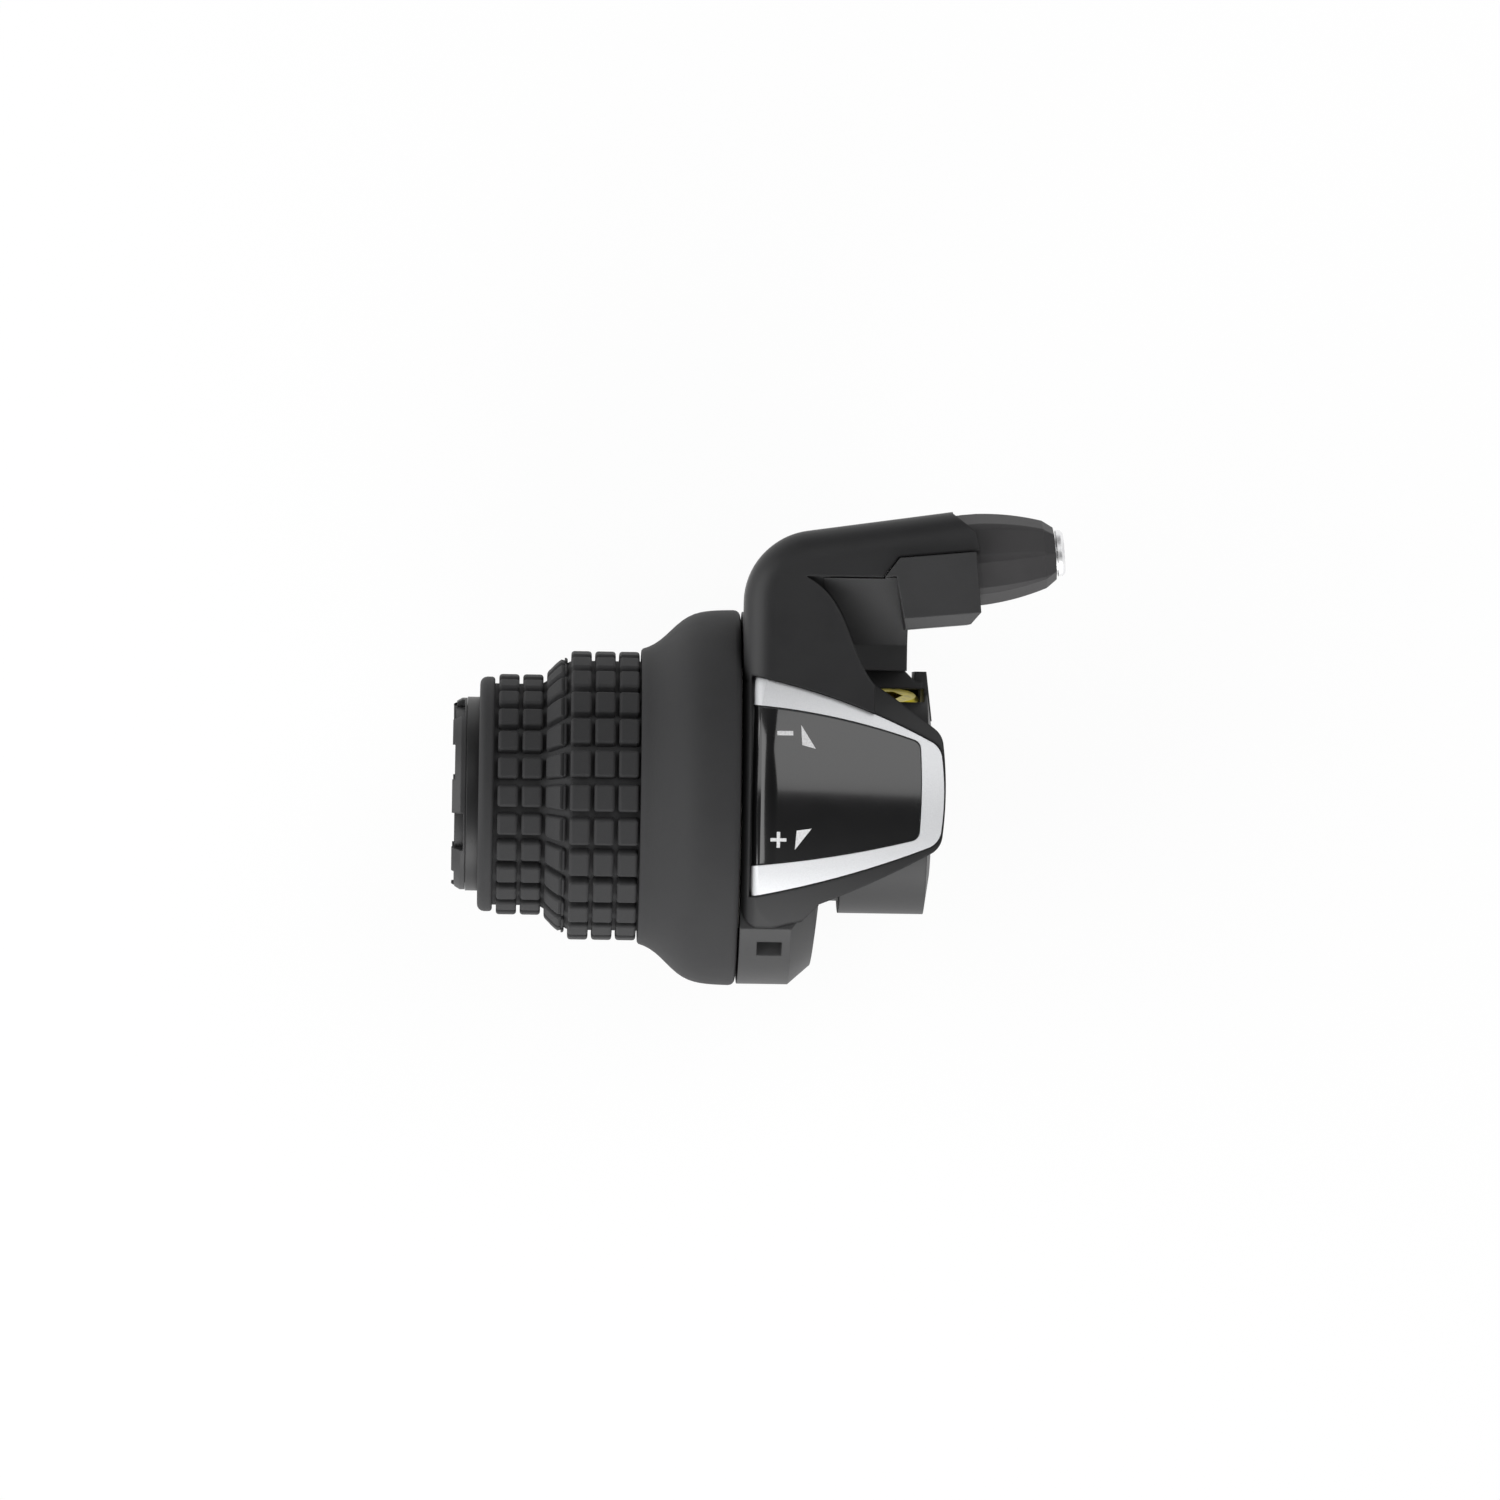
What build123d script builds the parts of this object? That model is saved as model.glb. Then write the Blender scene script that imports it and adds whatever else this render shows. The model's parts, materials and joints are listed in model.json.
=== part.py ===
"""Friction twist grip shifter for the left end of a flat handlebar.

The handlebar runs along X with the clamp ring's middle at the origin. +X points inboard,
+Y points forward and +Z points up, out of the display. Lengths are in millimetres.
"""
import math
import os

from build123d import *

# Handlebar, clamp ring and the sleeve that the grip turns on
bar_radius = 11.1
bar_clearance = 0.2
clamp_length = 12.6
clamp_wall = 4.8
clamp_slot_width = 1.6
link_length = 3.2
link_wall = 2.9
sleeve_wall = 1.1

# Clamp screw under the bar, tilted so that its head faces forward and a little up
clamp_screw_radius = 2.5
clamp_screw_tilt = 15.0
clamp_screw_shift = 0.5
clamp_screw_cover = 1.1
clamp_head_radius = 4.55
clamp_head_height = 3.4
clamp_socket_width = 4.0
clamp_socket_depth = 2.2
clamp_washer_radius = 4.6
clamp_washer_thickness = 0.8
clamp_nut_width = 8.0
clamp_nut_height = 2.7
clamp_hole_clearance = 0.25
clamp_draft = 0.7
ear_front_length = 7.1
ear_rear_length = 7.6
ear_half_width = 5.4
ear_root = 4.4
ear_depth = 4.4
ear_corner = 2.0
head_pocket_wall = 2.6
head_pocket_gap = 0.6
head_shroud_length = 5.0
head_shroud_wall = 1.3
head_shroud_root = 1.0
cheek_thickness = 2.5
cheek_reach = 18.0
cheek_height = 11.0
cheek_lean = 0.85

# Drum chamber
chamber_length = 10.8
cavity_radius = 22.0
chamber_wall = 4.0
back_plate_thickness = 1.7
back_chamfer = 3.3
back_chamfer_length = 3.7
back_draft = 0.85
back_draft_start = 15.0
rear_skirt_drop = 7.1
parting_gap = 0.15
corner_cut_length = 3.2
window_length = 3.45
window_height = 2.6
window_drop = 2.1
window_inset = 2.45
tab_thickness = 1.2
tab_gap = 0.15
stop_thickness = 3.0
stop_gap_angle = 2.0

# Arm that carries the cable round to the adjuster
arm_height = 14.4
arm_axis_height = 14.0
arm_corner_start = 27.25
arm_corner_radius = 10.0
arm_slope = 8.3
arm_rounding = 4.0
arm_root = 9.0
arm_overrun = 8.0
neck_right = 2.4
neck_rear = 18.0
neck_front_drop = 0.25
neck_rear_height = 12.8
neck_sag = 1.2
curtain_depth = 2.4
curtain_notch = 1.4
curtain_bottom = -5.0
curtain_overlap = 1.0
seam_front = 30.8
scoop_start = -12.0
scoop_middle = (-6.3, 24.15)
scoop_low = (-4.6, 19.9)
scoop_end = (-2.2, 15.9)

# Adjuster axis, arm end, boss, knob and bolt, measured along and across the adjuster
adjuster_x = 12.2
adjuster_y = 33.6
adjuster_yaw = 5.5
arm_end = 0.2
arm_end_knee = (-0.4, 3.7)
arm_end_front = (-3.3, 6.55)
boss_left = -11.2
boss_lean = 0.7
boss_flare = 1.6
boss_seam = 1.5
boss_right = -0.65
boss_rear = 8.9
boss_front = 1.0
boss_top = 8.0
boss_bevel = 1.5
knob_radius = 6.35
knob_left = -3.0
knob_edge = 0.3
knob_parallel_end = 0.0
knob_taper_end = 9.0
knob_taper_radius = 4.7
knob_taper_tangents = ((1, -0.05), (1, -0.32))
knob_shoulder = 0.6
knob_shoulder_radius = 4.05
knob_length = 13.5
knob_end_radius = 3.6
knob_flat_count = 8
knob_flat_depth = 0.28
knob_notch_count = 10
knob_notch_width = 1.3
knob_notch_depth = 0.8
knob_gap = 0.6
knob_side_gap = 0.4
spigot_radius = 4.0
spigot_length = 4.8
collar_radius = 4.9
collar_length = 1.4
collar_gap = 0.3
running_clearance = 0.1
seat_clearance = 0.05
insert_wall = 0.7
insert_length = 14.0
bolt_radius = 2.8
bolt_inner_end = -15.0
bolt_flat_width = 4.2
bolt_tip_radius = 3.2
bolt_tip_length = 1.0
bolt_tip_edge = 0.4
bolt_tip_gap = 0.25
casing_radius = 2.1
casing_depth = 8.0
wire_radius = 0.9
click_spring_thickness = 0.3
click_spring_width = 2.0

# Cable guide tube in the arm
guide_radius = 1.5
guide_bend = 9.0
guide_x = -15.5
guide_start = 22.3
guide_lead = 4.0

# Cover screws, driven upward through the arm
cover_screw_radius = 1.25
cover_screw_head_radius = 2.3
cover_screw_head_height = 1.6
cover_screw_length = 6.2
cover_screw_recess = 3.2
cover_screw_drive = 1.3
cover_screw_front = (-4.6, 35.3)
cover_screw_rear_inset = 1.6
cover_screw_rear = 22.6

# Display hood: a barrel that dips towards the clamp
hood_radius = 30.0
hood_dip = 10.0
hood_sink = 0.5
hood_thickness = 2.6
hood_end_margin = 0.25
hood_front_margin = 1.7
hood_front_flare = 3.8
hood_rear_margin = 0.7
hood_rear_flare = 1.0
hood_bow = 0.35

# Display frame and panel, in plan
bezel_left = -19.1
bezel_right = 7.0
bezel_front_left = 16.9
bezel_front_right = 7.5
bezel_rear_left = -13.5
bezel_rear_right = -5.8
bezel_front_bow = 1.1
bezel_rear_bow = 0.7
bezel_end_bow = 0.55
bezel_corner = 2.8
bezel_rise = 0.5
panel_right = 4.15
panel_front_left = 12.9
panel_front_right = 8.1
panel_rear_left = -9.2
panel_rear_right = -5.2
panel_front_bow = 0.8
panel_rear_bow = 0.5
panel_end_bow = 0.25
panel_corner = 1.4
panel_rise = 0.15
panel_gap = 0.08
display_depth = 1.0
shoulder_radius = 2.4

# Twist grip
grip_length = 36.15
grip_face_gap = 0.25
core_wall = 2.2
core_collar_radius = 13.55
core_collar_length = 1.7
core_large_radius = 18.2
core_flange_cover = 2.8
core_flange_thickness = 2.2
core_recess = 0.2
grip_small_radius = 16.64
grip_large_radius = 20.2
ramp_start = 8.2
ramp_length = 4.9
bead_length = 2.1
bead_radius = 16.4
bead_chamfer = 0.6
block_columns = 6
block_rows = 26
block_row_turn = 0.55
block_pitch = 3.34
column_groove = 0.5
row_groove = 1.1
block_depth = 1.3
block_start = 2.4
flange_start_radius = 20.6
flange_knee = 5.7
flange_knee_drop = 1.4
flange_lip = 0.2
flange_edge = 0.8
flange_tangents = ((1, 0.05), (1, 0.08))

# Cable drum, keyed to the core's inboard end
stub_wall = 1.7
drum_radius = 18.2
drum_groove_radius = 16.0
drum_groove_width = 2.0
key_count = 4
key_width = 3.0
key_height = 1.0
key_sink = 0.4
nipple_pocket = 5.0
nipple_turn = 45.0
twist_range = 75.0
lug_reach = 2.6
lug_length = 3.0

# Friction stack between the drum and the chamber's back plate
friction_outer = 17.6
friction_play = 0.4
spring_bow = 1.0
spring_thickness = 0.4
thrust_thickness = 0.4
stack_gap = 0.05
drum_gap = 0.15

# Castellated retaining ring at the grip's outboard end
ring_gap = 0.2
ring_length = 1.4
ring_radius = 13.4
ring_chamfer = 0.8
ring_lug_length = 0.35
ring_lug_angle = 66.0
ring_notch_angle = 24.0
ring_notch_count = 4
ring_turn = 24.0

# Stations along the bar
clamp_right = clamp_length / 2
clamp_left = -clamp_length / 2
chamber_back = clamp_left - link_length
plate_face = chamber_back - back_plate_thickness
chamber_face = chamber_back - chamber_length
grip_inner = chamber_face - grip_face_gap
grip_outer = grip_inner - grip_length
collar_face = grip_outer - core_collar_length
ring_right = collar_face - ring_gap
ring_left = ring_right - ring_length
spring_height = spring_bow + spring_thickness
thrust_right = plate_face - 2 * stack_gap - spring_height
thrust_left = thrust_right - thrust_thickness
drum_right = thrust_left - drum_gap
core_face = grip_inner - core_recess
blocks_left = grip_outer + block_start
blocks_right = blocks_left + block_columns * block_pitch
step_left = blocks_left + 2 * block_pitch
step_right = step_left + block_pitch

# Radii that follow from the bar
clamp_radius = bar_radius + clamp_wall
bore_radius = bar_radius + bar_clearance
sleeve_radius = bore_radius + sleeve_wall
core_bore = sleeve_radius + running_clearance
core_radius = core_bore + core_wall
stub_radius = core_bore + stub_wall

# Sizes that follow from the drum chamber
chamber_radius = cavity_radius + chamber_wall
rear_parting_height = chamber_radius - rear_skirt_drop
hood_top = chamber_radius - hood_sink
flange_radius = chamber_radius + flange_lip
flange_knee_radius = flange_radius - flange_knee_drop
core_flange_radius = flange_radius - core_flange_cover

# Heights of the arm, and places of the cover screws in it
arm_bottom = arm_axis_height - arm_height / 2
arm_top = arm_axis_height + arm_height / 2
cover_screw_places = (cover_screw_front, (chamber_back + cover_screw_rear_inset, cover_screw_rear))

far = 200.0


def tube(outer, inner, x0, x1):
    """Ring about the bar axis."""
    return Pos(x0, 0, 0) * extrude(Plane.YZ * (Circle(outer) - Circle(inner)), amount=x1 - x0)


def rod(radius, x0, x1):
    """Round bar on the X axis."""
    return Pos(x0, 0, 0) * extrude(Plane.YZ * Circle(radius), amount=x1 - x0)


def block(x0, x1, y0, y1, z0, z1):
    """Box between two corners."""
    middle = Pos((x0 + x1) / 2, (y0 + y1) / 2, (z0 + z1) / 2)
    return middle * Box(x1 - x0, y1 - y0, z1 - z0)


def turned(points):
    """Solid of revolution about the X axis from (x, radius) corners."""
    return revolve(make_face(Polyline(*points, close=True)), Axis.X)


def plate(face, z0, z1):
    """Plan outline raised from one height to another."""
    return extrude(Pos(0, 0, z0) * face, amount=z1 - z0, dir=(0, 0, 1))


def bowed(start, end, bow):
    """Arc from start to end that stands out to the right of its chord."""
    dx = end[0] - start[0]
    dy = end[1] - start[1]
    length = math.hypot(dx, dy)
    middle = ((start[0] + end[0]) / 2 + bow * dy / length, (start[1] + end[1]) / 2 - bow * dx / length)
    return ThreePointArc(start, middle, end)


def tongue(left, right, front_ends, rear_ends, bows, corner):
    """Plan of the display: straight at the grip, bowed sides that close in, rounded inboard end."""
    front_bow, rear_bow, end_bow = bows
    rear = bowed((left, rear_ends[0]), (right, rear_ends[1]), rear_bow)
    end = bowed((right, rear_ends[1]), (right, front_ends[1]), end_bow)
    front = bowed((right, front_ends[1]), (left, front_ends[0]), front_bow)
    back = Line((left, front_ends[0]), (left, rear_ends[0]))
    face = make_face([rear, end, front, back])
    return fillet(face.vertices().sort_by(Axis.X)[-2:], corner)


def on_adjuster(shape):
    """Place a shape that was drawn along X on the adjuster's axis."""
    return Pos(adjuster_x, adjuster_y, arm_axis_height) * Rot(0, 0, adjuster_yaw) * shape


def in_clamp(shape):
    """Turn a shape drawn with the clamp screw level into the clamp's tilt."""
    return Rot(clamp_screw_tilt, 0, 0) * shape


def hood_body(radius):
    """Solid inside the display barrel, whose axis dips towards the clamp."""
    pivot_height = hood_top - hood_radius / math.cos(math.radians(hood_dip))
    return Pos(bezel_left, 0, pivot_height) * Rot(0, hood_dip, 0) * rod(radius, -far / 2, far / 2)


def shoulder_body(x_left, radius):
    """Solid of revolution whose left edge is rounded over, used to turn edges down to the grip."""
    centre = (x_left + shoulder_radius, radius - shoulder_radius)
    half = math.sqrt(0.5) * shoulder_radius
    arc = ThreePointArc(
        (x_left, centre[1]), (centre[0] - half, centre[1] + half), (centre[0], radius)
    )
    rest = Polyline((centre[0], radius), (far / 4, radius), (far / 4, 0), (x_left, 0), (x_left, centre[1]))
    return revolve(make_face([arc, rest]), Axis.X)


def bezel_plan(grow=0.0):
    """Outer edge of the silver frame."""
    return tongue(
        bezel_left - grow, bezel_right + grow,
        (bezel_front_left + grow, bezel_front_right + grow), (bezel_rear_left - grow, bezel_rear_right - grow),
        (bezel_front_bow, bezel_rear_bow, bezel_end_bow), bezel_corner,
    )


def panel_plan(grow=0.0):
    """Edge of the black panel inside the frame."""
    return tongue(
        bezel_left - grow, panel_right + grow,
        (panel_front_left + grow, panel_front_right + grow), (panel_rear_left - grow, panel_rear_right - grow),
        (panel_front_bow, panel_rear_bow, panel_end_bow), panel_corner,
    )


def hood_plan():
    """Edge of the hood: a thin rim round the frame's inboard end that widens towards the chamber."""
    return tongue(
        chamber_back, bezel_right + hood_end_margin,
        (bezel_front_left + hood_front_flare, bezel_front_right + hood_front_margin),
        (bezel_rear_left - hood_rear_flare, bezel_rear_right - hood_rear_margin),
        (hood_bow, hood_bow, bezel_end_bow), bezel_corner + hood_end_margin,
    )


def on_corner(angle):
    """Point of the arm's outer corner in plan."""
    return (
        chamber_face + arm_corner_radius + arm_corner_radius * math.cos(angle),
        arm_corner_start + arm_corner_radius * math.sin(angle),
    )


def arm_outer_edge():
    """Outer edge of the arm in plan: up beside the grip, round the corner, along past the arm's end."""
    end_angle = math.radians(90 + arm_slope)
    turn_end = on_corner(end_angle)
    x_end = adjuster_x + arm_overrun
    tip = (x_end, turn_end[1] + (x_end - turn_end[0]) * math.tan(math.radians(arm_slope)))
    side = Line((chamber_face, arm_root), (chamber_face, arm_corner_start))
    corner = ThreePointArc((chamber_face, arm_corner_start), on_corner((math.pi + end_angle) / 2), turn_end)
    return [side, corner, Line(turn_end, tip)], tip


def outer_edges(solid, height):
    """Edges of an arm half along its outer plan edge at one height."""
    level = solid.edges().filter_by_position(Axis.Z, height - 0.01, height + 0.01)
    beside = chamber_face + arm_corner_radius / 2
    return level.filter_by(lambda edge: edge.center().X < beside or edge.center().Y > seam_front + arm_rounding)


def arm_half_plan(corners):
    """Arm outline in plan: its outer edge and then the given corners back to the chamber."""
    edges, tip = arm_outer_edge()
    inner = Polyline(tip, *corners, (chamber_face, arm_root))
    return make_face([*edges, inner])


def past_arm_end():
    """Space beyond the arm's end, which is cut back obliquely at the front."""
    plan = make_face(Polyline(
        (arm_end, -far / 4), (arm_end, 0), arm_end_knee, arm_end_front, (arm_end_front[0], far / 4),
        (far / 4, far / 4), (far / 4, -far / 4), close=True,
    ))
    return on_adjuster(plate(plan, -far / 4, far / 4))


def boss_corner(along, across):
    """Point of the adjuster's own frame in plan."""
    yaw = math.radians(adjuster_yaw)
    return (
        adjuster_x + along * math.cos(yaw) - across * math.sin(yaw),
        adjuster_y + along * math.sin(yaw) + across * math.cos(yaw),
    )


def guide_path(start_y):
    """Centre line of the cable from the chamber to the adjuster bolt."""
    yaw = math.radians(adjuster_yaw)
    corner = (guide_x, adjuster_y - (adjuster_x - guide_x) * math.tan(yaw))
    end = boss_corner(bolt_inner_end - 2 * stack_gap, 0)
    level = arm_axis_height
    points = [(guide_x, start_y, level), (*corner, level), (*end, level)]
    return FilletPolyline(*points, radius=guide_bend)


def swept_round(path, radius):
    """Round bar along a path."""
    section = Plane(path @ 0, z_dir=path % 0) * Circle(radius)
    return sweep(section, path=path)


def cover_region(grow=0.0):
    """Space of the chamber wall that belongs to the cover: over the top, cut away at one corner."""
    right = chamber_back + grow
    cut = corner_cut_length
    rear = -chamber_radius - 1
    skirt = -math.sqrt(chamber_radius ** 2 - rear_parting_height ** 2)
    plan = make_face(Polyline(
        (chamber_face - 1, rear), (right - cut, rear), (right - cut, skirt), (right, skirt + cut),
        (right, 0), (chamber_face - 1, 0), close=True,
    ))
    rear_part = plate(plan, rear_parting_height - grow, far / 4)
    front_part = block(chamber_face - 1, right, 0, far / 4, arm_axis_height, far / 4)
    return rear_part + front_part


def cover_arm_plan(grow=0.0):
    """Upper arm half in plan: round the outside, back along the boss and seam, and in round the scoop."""
    edges, tip = arm_outer_edge()
    across = boss_front + parting_gap - grow
    boss_side = boss_left - parting_gap + grow
    seam = seam_front - grow
    seam_start = (boss_corner(boss_side - boss_lean - boss_flare, -boss_seam)[0], seam)
    scoop = [(scoop_start + 3 * grow, seam)]
    for spot in (scoop_middle, scoop_low, scoop_end):
        scoop.append((spot[0] + grow, spot[1] + grow))
    edges.append(Polyline(
        tip, boss_corner(arm_overrun, across), boss_corner(boss_side, across), seam_start, scoop[0]
    ))
    edges.append(Spline(*scoop))
    edges.append(Polyline(scoop[-1], (scoop[-1][0], arm_root), (chamber_face, arm_root)))
    return make_face(edges)


def neck_saddle():
    """Hollowed saddle between the arm and the clamp, up to the cover's edge."""
    front = (seam_front, arm_top - neck_front_drop)
    rear = (neck_rear, neck_rear_height)
    section = make_face([
        bowed(rear, front, neck_sag),
        Polyline(front, (seam_front, arm_bottom), (neck_rear, arm_bottom), rear),
    ])
    length = neck_right - chamber_back
    saddle = Pos(chamber_back, 0, 0) * extrude(Plane.YZ * section, amount=length, dir=(1, 0, 0))
    return saddle - plate(cover_arm_plan(parting_gap), arm_axis_height, far / 4)


def neck_curtain():
    """Wall under the neck that closes the front of the clamp screw's pocket, notched beside the cheek."""
    left = chamber_back - back_plate_thickness / 2
    right = clamp_right - cheek_thickness + curtain_overlap
    front = neck_rear + curtain_overlap
    rear = neck_rear - curtain_depth
    notch = neck_rear - curtain_notch
    plan = make_face(Polyline(
        (left, rear), (right, rear), (right, notch), (clamp_right - cheek_thickness, notch),
        (neck_right, neck_rear), (neck_right, front), (left, front), close=True,
    ))
    return plate(plan, curtain_bottom, arm_bottom + curtain_overlap)


def adjuster_cavity():
    """Room in the arm for the knob, its spigot and collar, and the keyed end of the bolt."""
    shoulder = knob_left - knob_gap
    collar_right = knob_left - spigot_length
    collar_left = collar_right - collar_length
    room = rod(knob_radius + knob_side_gap, shoulder, arm_end + 1)
    room += rod(spigot_radius + running_clearance, collar_right, shoulder + 1)
    room += rod(collar_radius + collar_gap, collar_left - collar_gap, collar_right + collar_gap)
    half_slot = bolt_flat_width / 2 + running_clearance
    slot = rod(bolt_radius + collar_gap, bolt_inner_end - 2 * stack_gap, collar_left)
    slot &= block(-far, far, -far, far, -half_slot, half_slot)
    return on_adjuster(room + slot)


def screw_rooms():
    """Holes for the cover screws: head, clearance in the arm, thread core in the cover."""
    rooms = []
    for place in cover_screw_places:
        seat = arm_bottom + cover_screw_recess
        top = seat + cover_screw_length + seat_clearance
        head = Pos(*place, arm_bottom) * Cylinder(
            cover_screw_head_radius + 2 * seat_clearance, 2 * cover_screw_recess
        )
        shank = Pos(*place, (arm_bottom + top) / 2) * Cylinder(
            cover_screw_radius + seat_clearance, top - arm_bottom
        )
        rooms.append(head + shank)
    return rooms


def clamp_parts():
    """Clamp ring with its ears, drawn with the screw level, then tilted."""
    drop = bar_radius + clamp_screw_radius + clamp_screw_cover
    ears = block(
        clamp_screw_shift - ear_half_width, clamp_screw_shift + ear_half_width,
        -ear_rear_length, ear_front_length, -drop - ear_depth, -bar_radius + ear_root,
    )
    ears = fillet(ears.edges().filter_by(Axis.X).group_by(Axis.Z)[0], ear_corner)
    ring = turned([
        (clamp_left, bar_radius), (clamp_left, clamp_radius), (clamp_right - clamp_draft, clamp_radius),
        (clamp_right, bar_radius),
    ])
    pocket_radius = clamp_washer_radius + head_pocket_gap
    shroud = block(
        clamp_left, clamp_right, ear_front_length - head_shroud_root, ear_front_length + head_shroud_length,
        -drop - pocket_radius - head_shroud_wall, -drop,
    )
    slot = block(
        clamp_left - link_length / 4, clamp_right + 1, -clamp_slot_width / 2, clamp_slot_width / 2, -far, 0
    )
    hole_radius = clamp_screw_radius + clamp_hole_clearance
    hole = Pos(clamp_screw_shift, 0, -drop) * Rot(90, 0, 0) * Cylinder(hole_radius, far)
    half_nut = clamp_nut_width / 2 + seat_clearance
    nut_room = block(
        clamp_screw_shift - half_nut, clamp_screw_shift + half_nut,
        -far, -ear_rear_length + clamp_nut_height, -drop - half_nut, -drop + half_nut,
    )
    head_room = Pos(clamp_screw_shift, ear_front_length + far / 2, -drop) * Rot(90, 0, 0) * Cylinder(
        pocket_radius, far
    )
    return in_clamp(ring + ears + shroud), in_clamp(slot + hole + nut_room + head_room)


def head_window():
    """Room in front of the clamp ring through which the screw head is seen and reached."""
    reach = clamp_washer_radius + head_pocket_gap
    return block(
        clamp_screw_shift - reach, clamp_screw_shift + reach - head_pocket_gap, bar_radius + head_pocket_wall,
        neck_rear - curtain_depth, -clamp_radius, far / 4,
    )


def sector(angle, spread, x0, x1):
    """Wedge about the bar axis, centred on an angle from +Y towards +Z."""
    edge = math.radians(spread / 2)
    reach = far / 8
    corner = (reach, reach * math.tan(edge))
    face = Plane.YZ * make_face(Polyline((0, 0), corner, (corner[0], -corner[1]), close=True))
    return Rot(angle, 0, 0) * (Pos(x0, 0, 0) * extrude(face, amount=x1 - x0, dir=(1, 0, 0)))


def stop_sector(angle, radius_in, radius_out, thickness, x0, x1):
    """Block that stands out radially at an angle from +Y towards +Z."""
    return Rot(angle, 0, 0) * block(x0, x1, radius_in, radius_out, -thickness / 2, thickness / 2)


def boss_block():
    """Squared boss round the adjuster, with bevelled rear edges."""
    below = arm_axis_height - arm_bottom
    side = boss_left - boss_lean
    plan = make_face(Polyline(
        (side - boss_flare, -boss_seam), (boss_left, boss_front), (boss_right, boss_front),
        (boss_right, -boss_rear), (boss_left, -boss_rear), (side, -boss_seam), close=True,
    ))
    shape = plate(plan, -below, boss_top)
    rear_edges = shape.edges().filter_by(Axis.X).sort_by(Axis.Y)[:2]
    upright = shape.edges().filter_by(Axis.Z).sort_by(Axis.Y)[:2].sort_by(Axis.X)[-1:]
    return on_adjuster(chamfer(rear_edges + upright, boss_bevel))


def bracket():
    """Base moulding: bar sleeve, clamp ring, drum chamber, arm base and adjuster boss."""
    rim = turned([
        (chamber_face, cavity_radius), (chamber_face, chamber_radius),
        (chamber_back - back_chamfer_length, chamber_radius), (chamber_back, chamber_radius - back_chamfer),
        (chamber_back, cavity_radius),
    ])
    rim -= cover_region(parting_gap)
    back = tube(cavity_radius - parting_gap, bore_radius, plate_face, chamber_back)
    lower_back = tube(cavity_radius + 1, bore_radius, plate_face, chamber_back) - cover_region(parting_gap)
    draft = make_face(Polyline(
        (chamber_back, -back_draft_start), (chamber_back + 1, -back_draft_start),
        (chamber_back + 1, -chamber_radius), (chamber_back - back_draft, -chamber_radius), close=True,
    ))
    chamber = rim + back + lower_back - plate(draft, -far / 4, far / 4)
    link = tube(bore_radius + link_wall, bore_radius, plate_face, clamp_left + 1)
    sleeve = tube(sleeve_radius, bore_radius, ring_left, chamber_back)
    low_plan = arm_half_plan([
        (adjuster_x + arm_overrun, seam_front), (neck_right, seam_front), (neck_right, neck_rear),
        (chamber_back, neck_rear), (chamber_back, arm_root),
    ])
    arm = plate(low_plan, arm_bottom, arm_axis_height)
    arm = fillet(outer_edges(arm, arm_bottom), arm_rounding)
    arm -= past_arm_end()
    arm -= rod(cavity_radius, chamber_face - 1, chamber_back)
    ring, clamp_cuts = clamp_parts()
    cheek_left = clamp_right - cheek_thickness
    cheek_plan = make_face(Polyline(
        (cheek_left, bar_radius), (clamp_right, bar_radius), (clamp_right - cheek_lean, cheek_reach),
        (cheek_left, cheek_reach), close=True,
    ))
    cheek = plate(cheek_plan, -cheek_height / 2, cheek_height / 2)
    body = chamber + link + sleeve + arm + neck_saddle() + neck_curtain() + boss_block() + ring + cheek
    for angle in stop_angles():
        body += stop_sector(
            angle, cavity_radius - lug_reach, cavity_radius + 1, stop_thickness,
            drum_right - lug_length - 1, plate_face + back_plate_thickness / 2,
        )
    body -= rod(bar_radius, clamp_left - 1, clamp_right + 1)
    body -= rod(bore_radius, ring_left - 1, clamp_left)
    body -= clamp_cuts
    body -= head_window()
    body -= adjuster_cavity()
    body -= swept_round(guide_path(guide_start - guide_lead), guide_radius + seat_clearance)
    window_top = rear_parting_height - window_drop
    body -= block(
        chamber_face + window_inset, chamber_face + window_inset + window_length, -far / 4, -cavity_radius / 2,
        window_top - window_height, window_top,
    )
    for room in screw_rooms():
        body -= room
    return body


def stop_angles():
    """Angles of the two ribs that stop the drum's lug."""
    rest = 270 - twist_range / 2
    half = math.degrees(math.asin(stop_thickness / 2 / (cavity_radius - lug_reach)))
    reach = 2 * half + stop_gap_angle
    return rest - reach, rest + twist_range + reach


def housing_cover():
    """Upper shell: chamber roof, hood over the clamp and the upper half of the arm."""
    hood = plate(hood_plan(), 0, far / 4) & (hood_body(hood_radius) - hood_body(hood_radius - hood_thickness))
    hood -= block(chamber_back - 1, neck_right, neck_rear - parting_gap, far / 4, 0, arm_axis_height)
    roof = cover_region() & hood_body(hood_radius) & shoulder_body(chamber_face, chamber_radius)
    arm = plate(cover_arm_plan(), arm_axis_height, arm_top)
    arm = fillet(outer_edges(arm, arm_top), arm_rounding)
    arm -= past_arm_end()
    body = roof + hood + arm
    body -= rod(cavity_radius, chamber_face - 1, chamber_back)
    body -= plate(bezel_plan(panel_gap), 0, far / 4) - hood_body(hood_radius - display_depth)
    body -= adjuster_cavity()
    body -= swept_round(guide_path(guide_start - guide_lead), guide_radius + seat_clearance)
    body += snap_tab()
    for room in screw_rooms():
        body -= room
    return body


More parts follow.
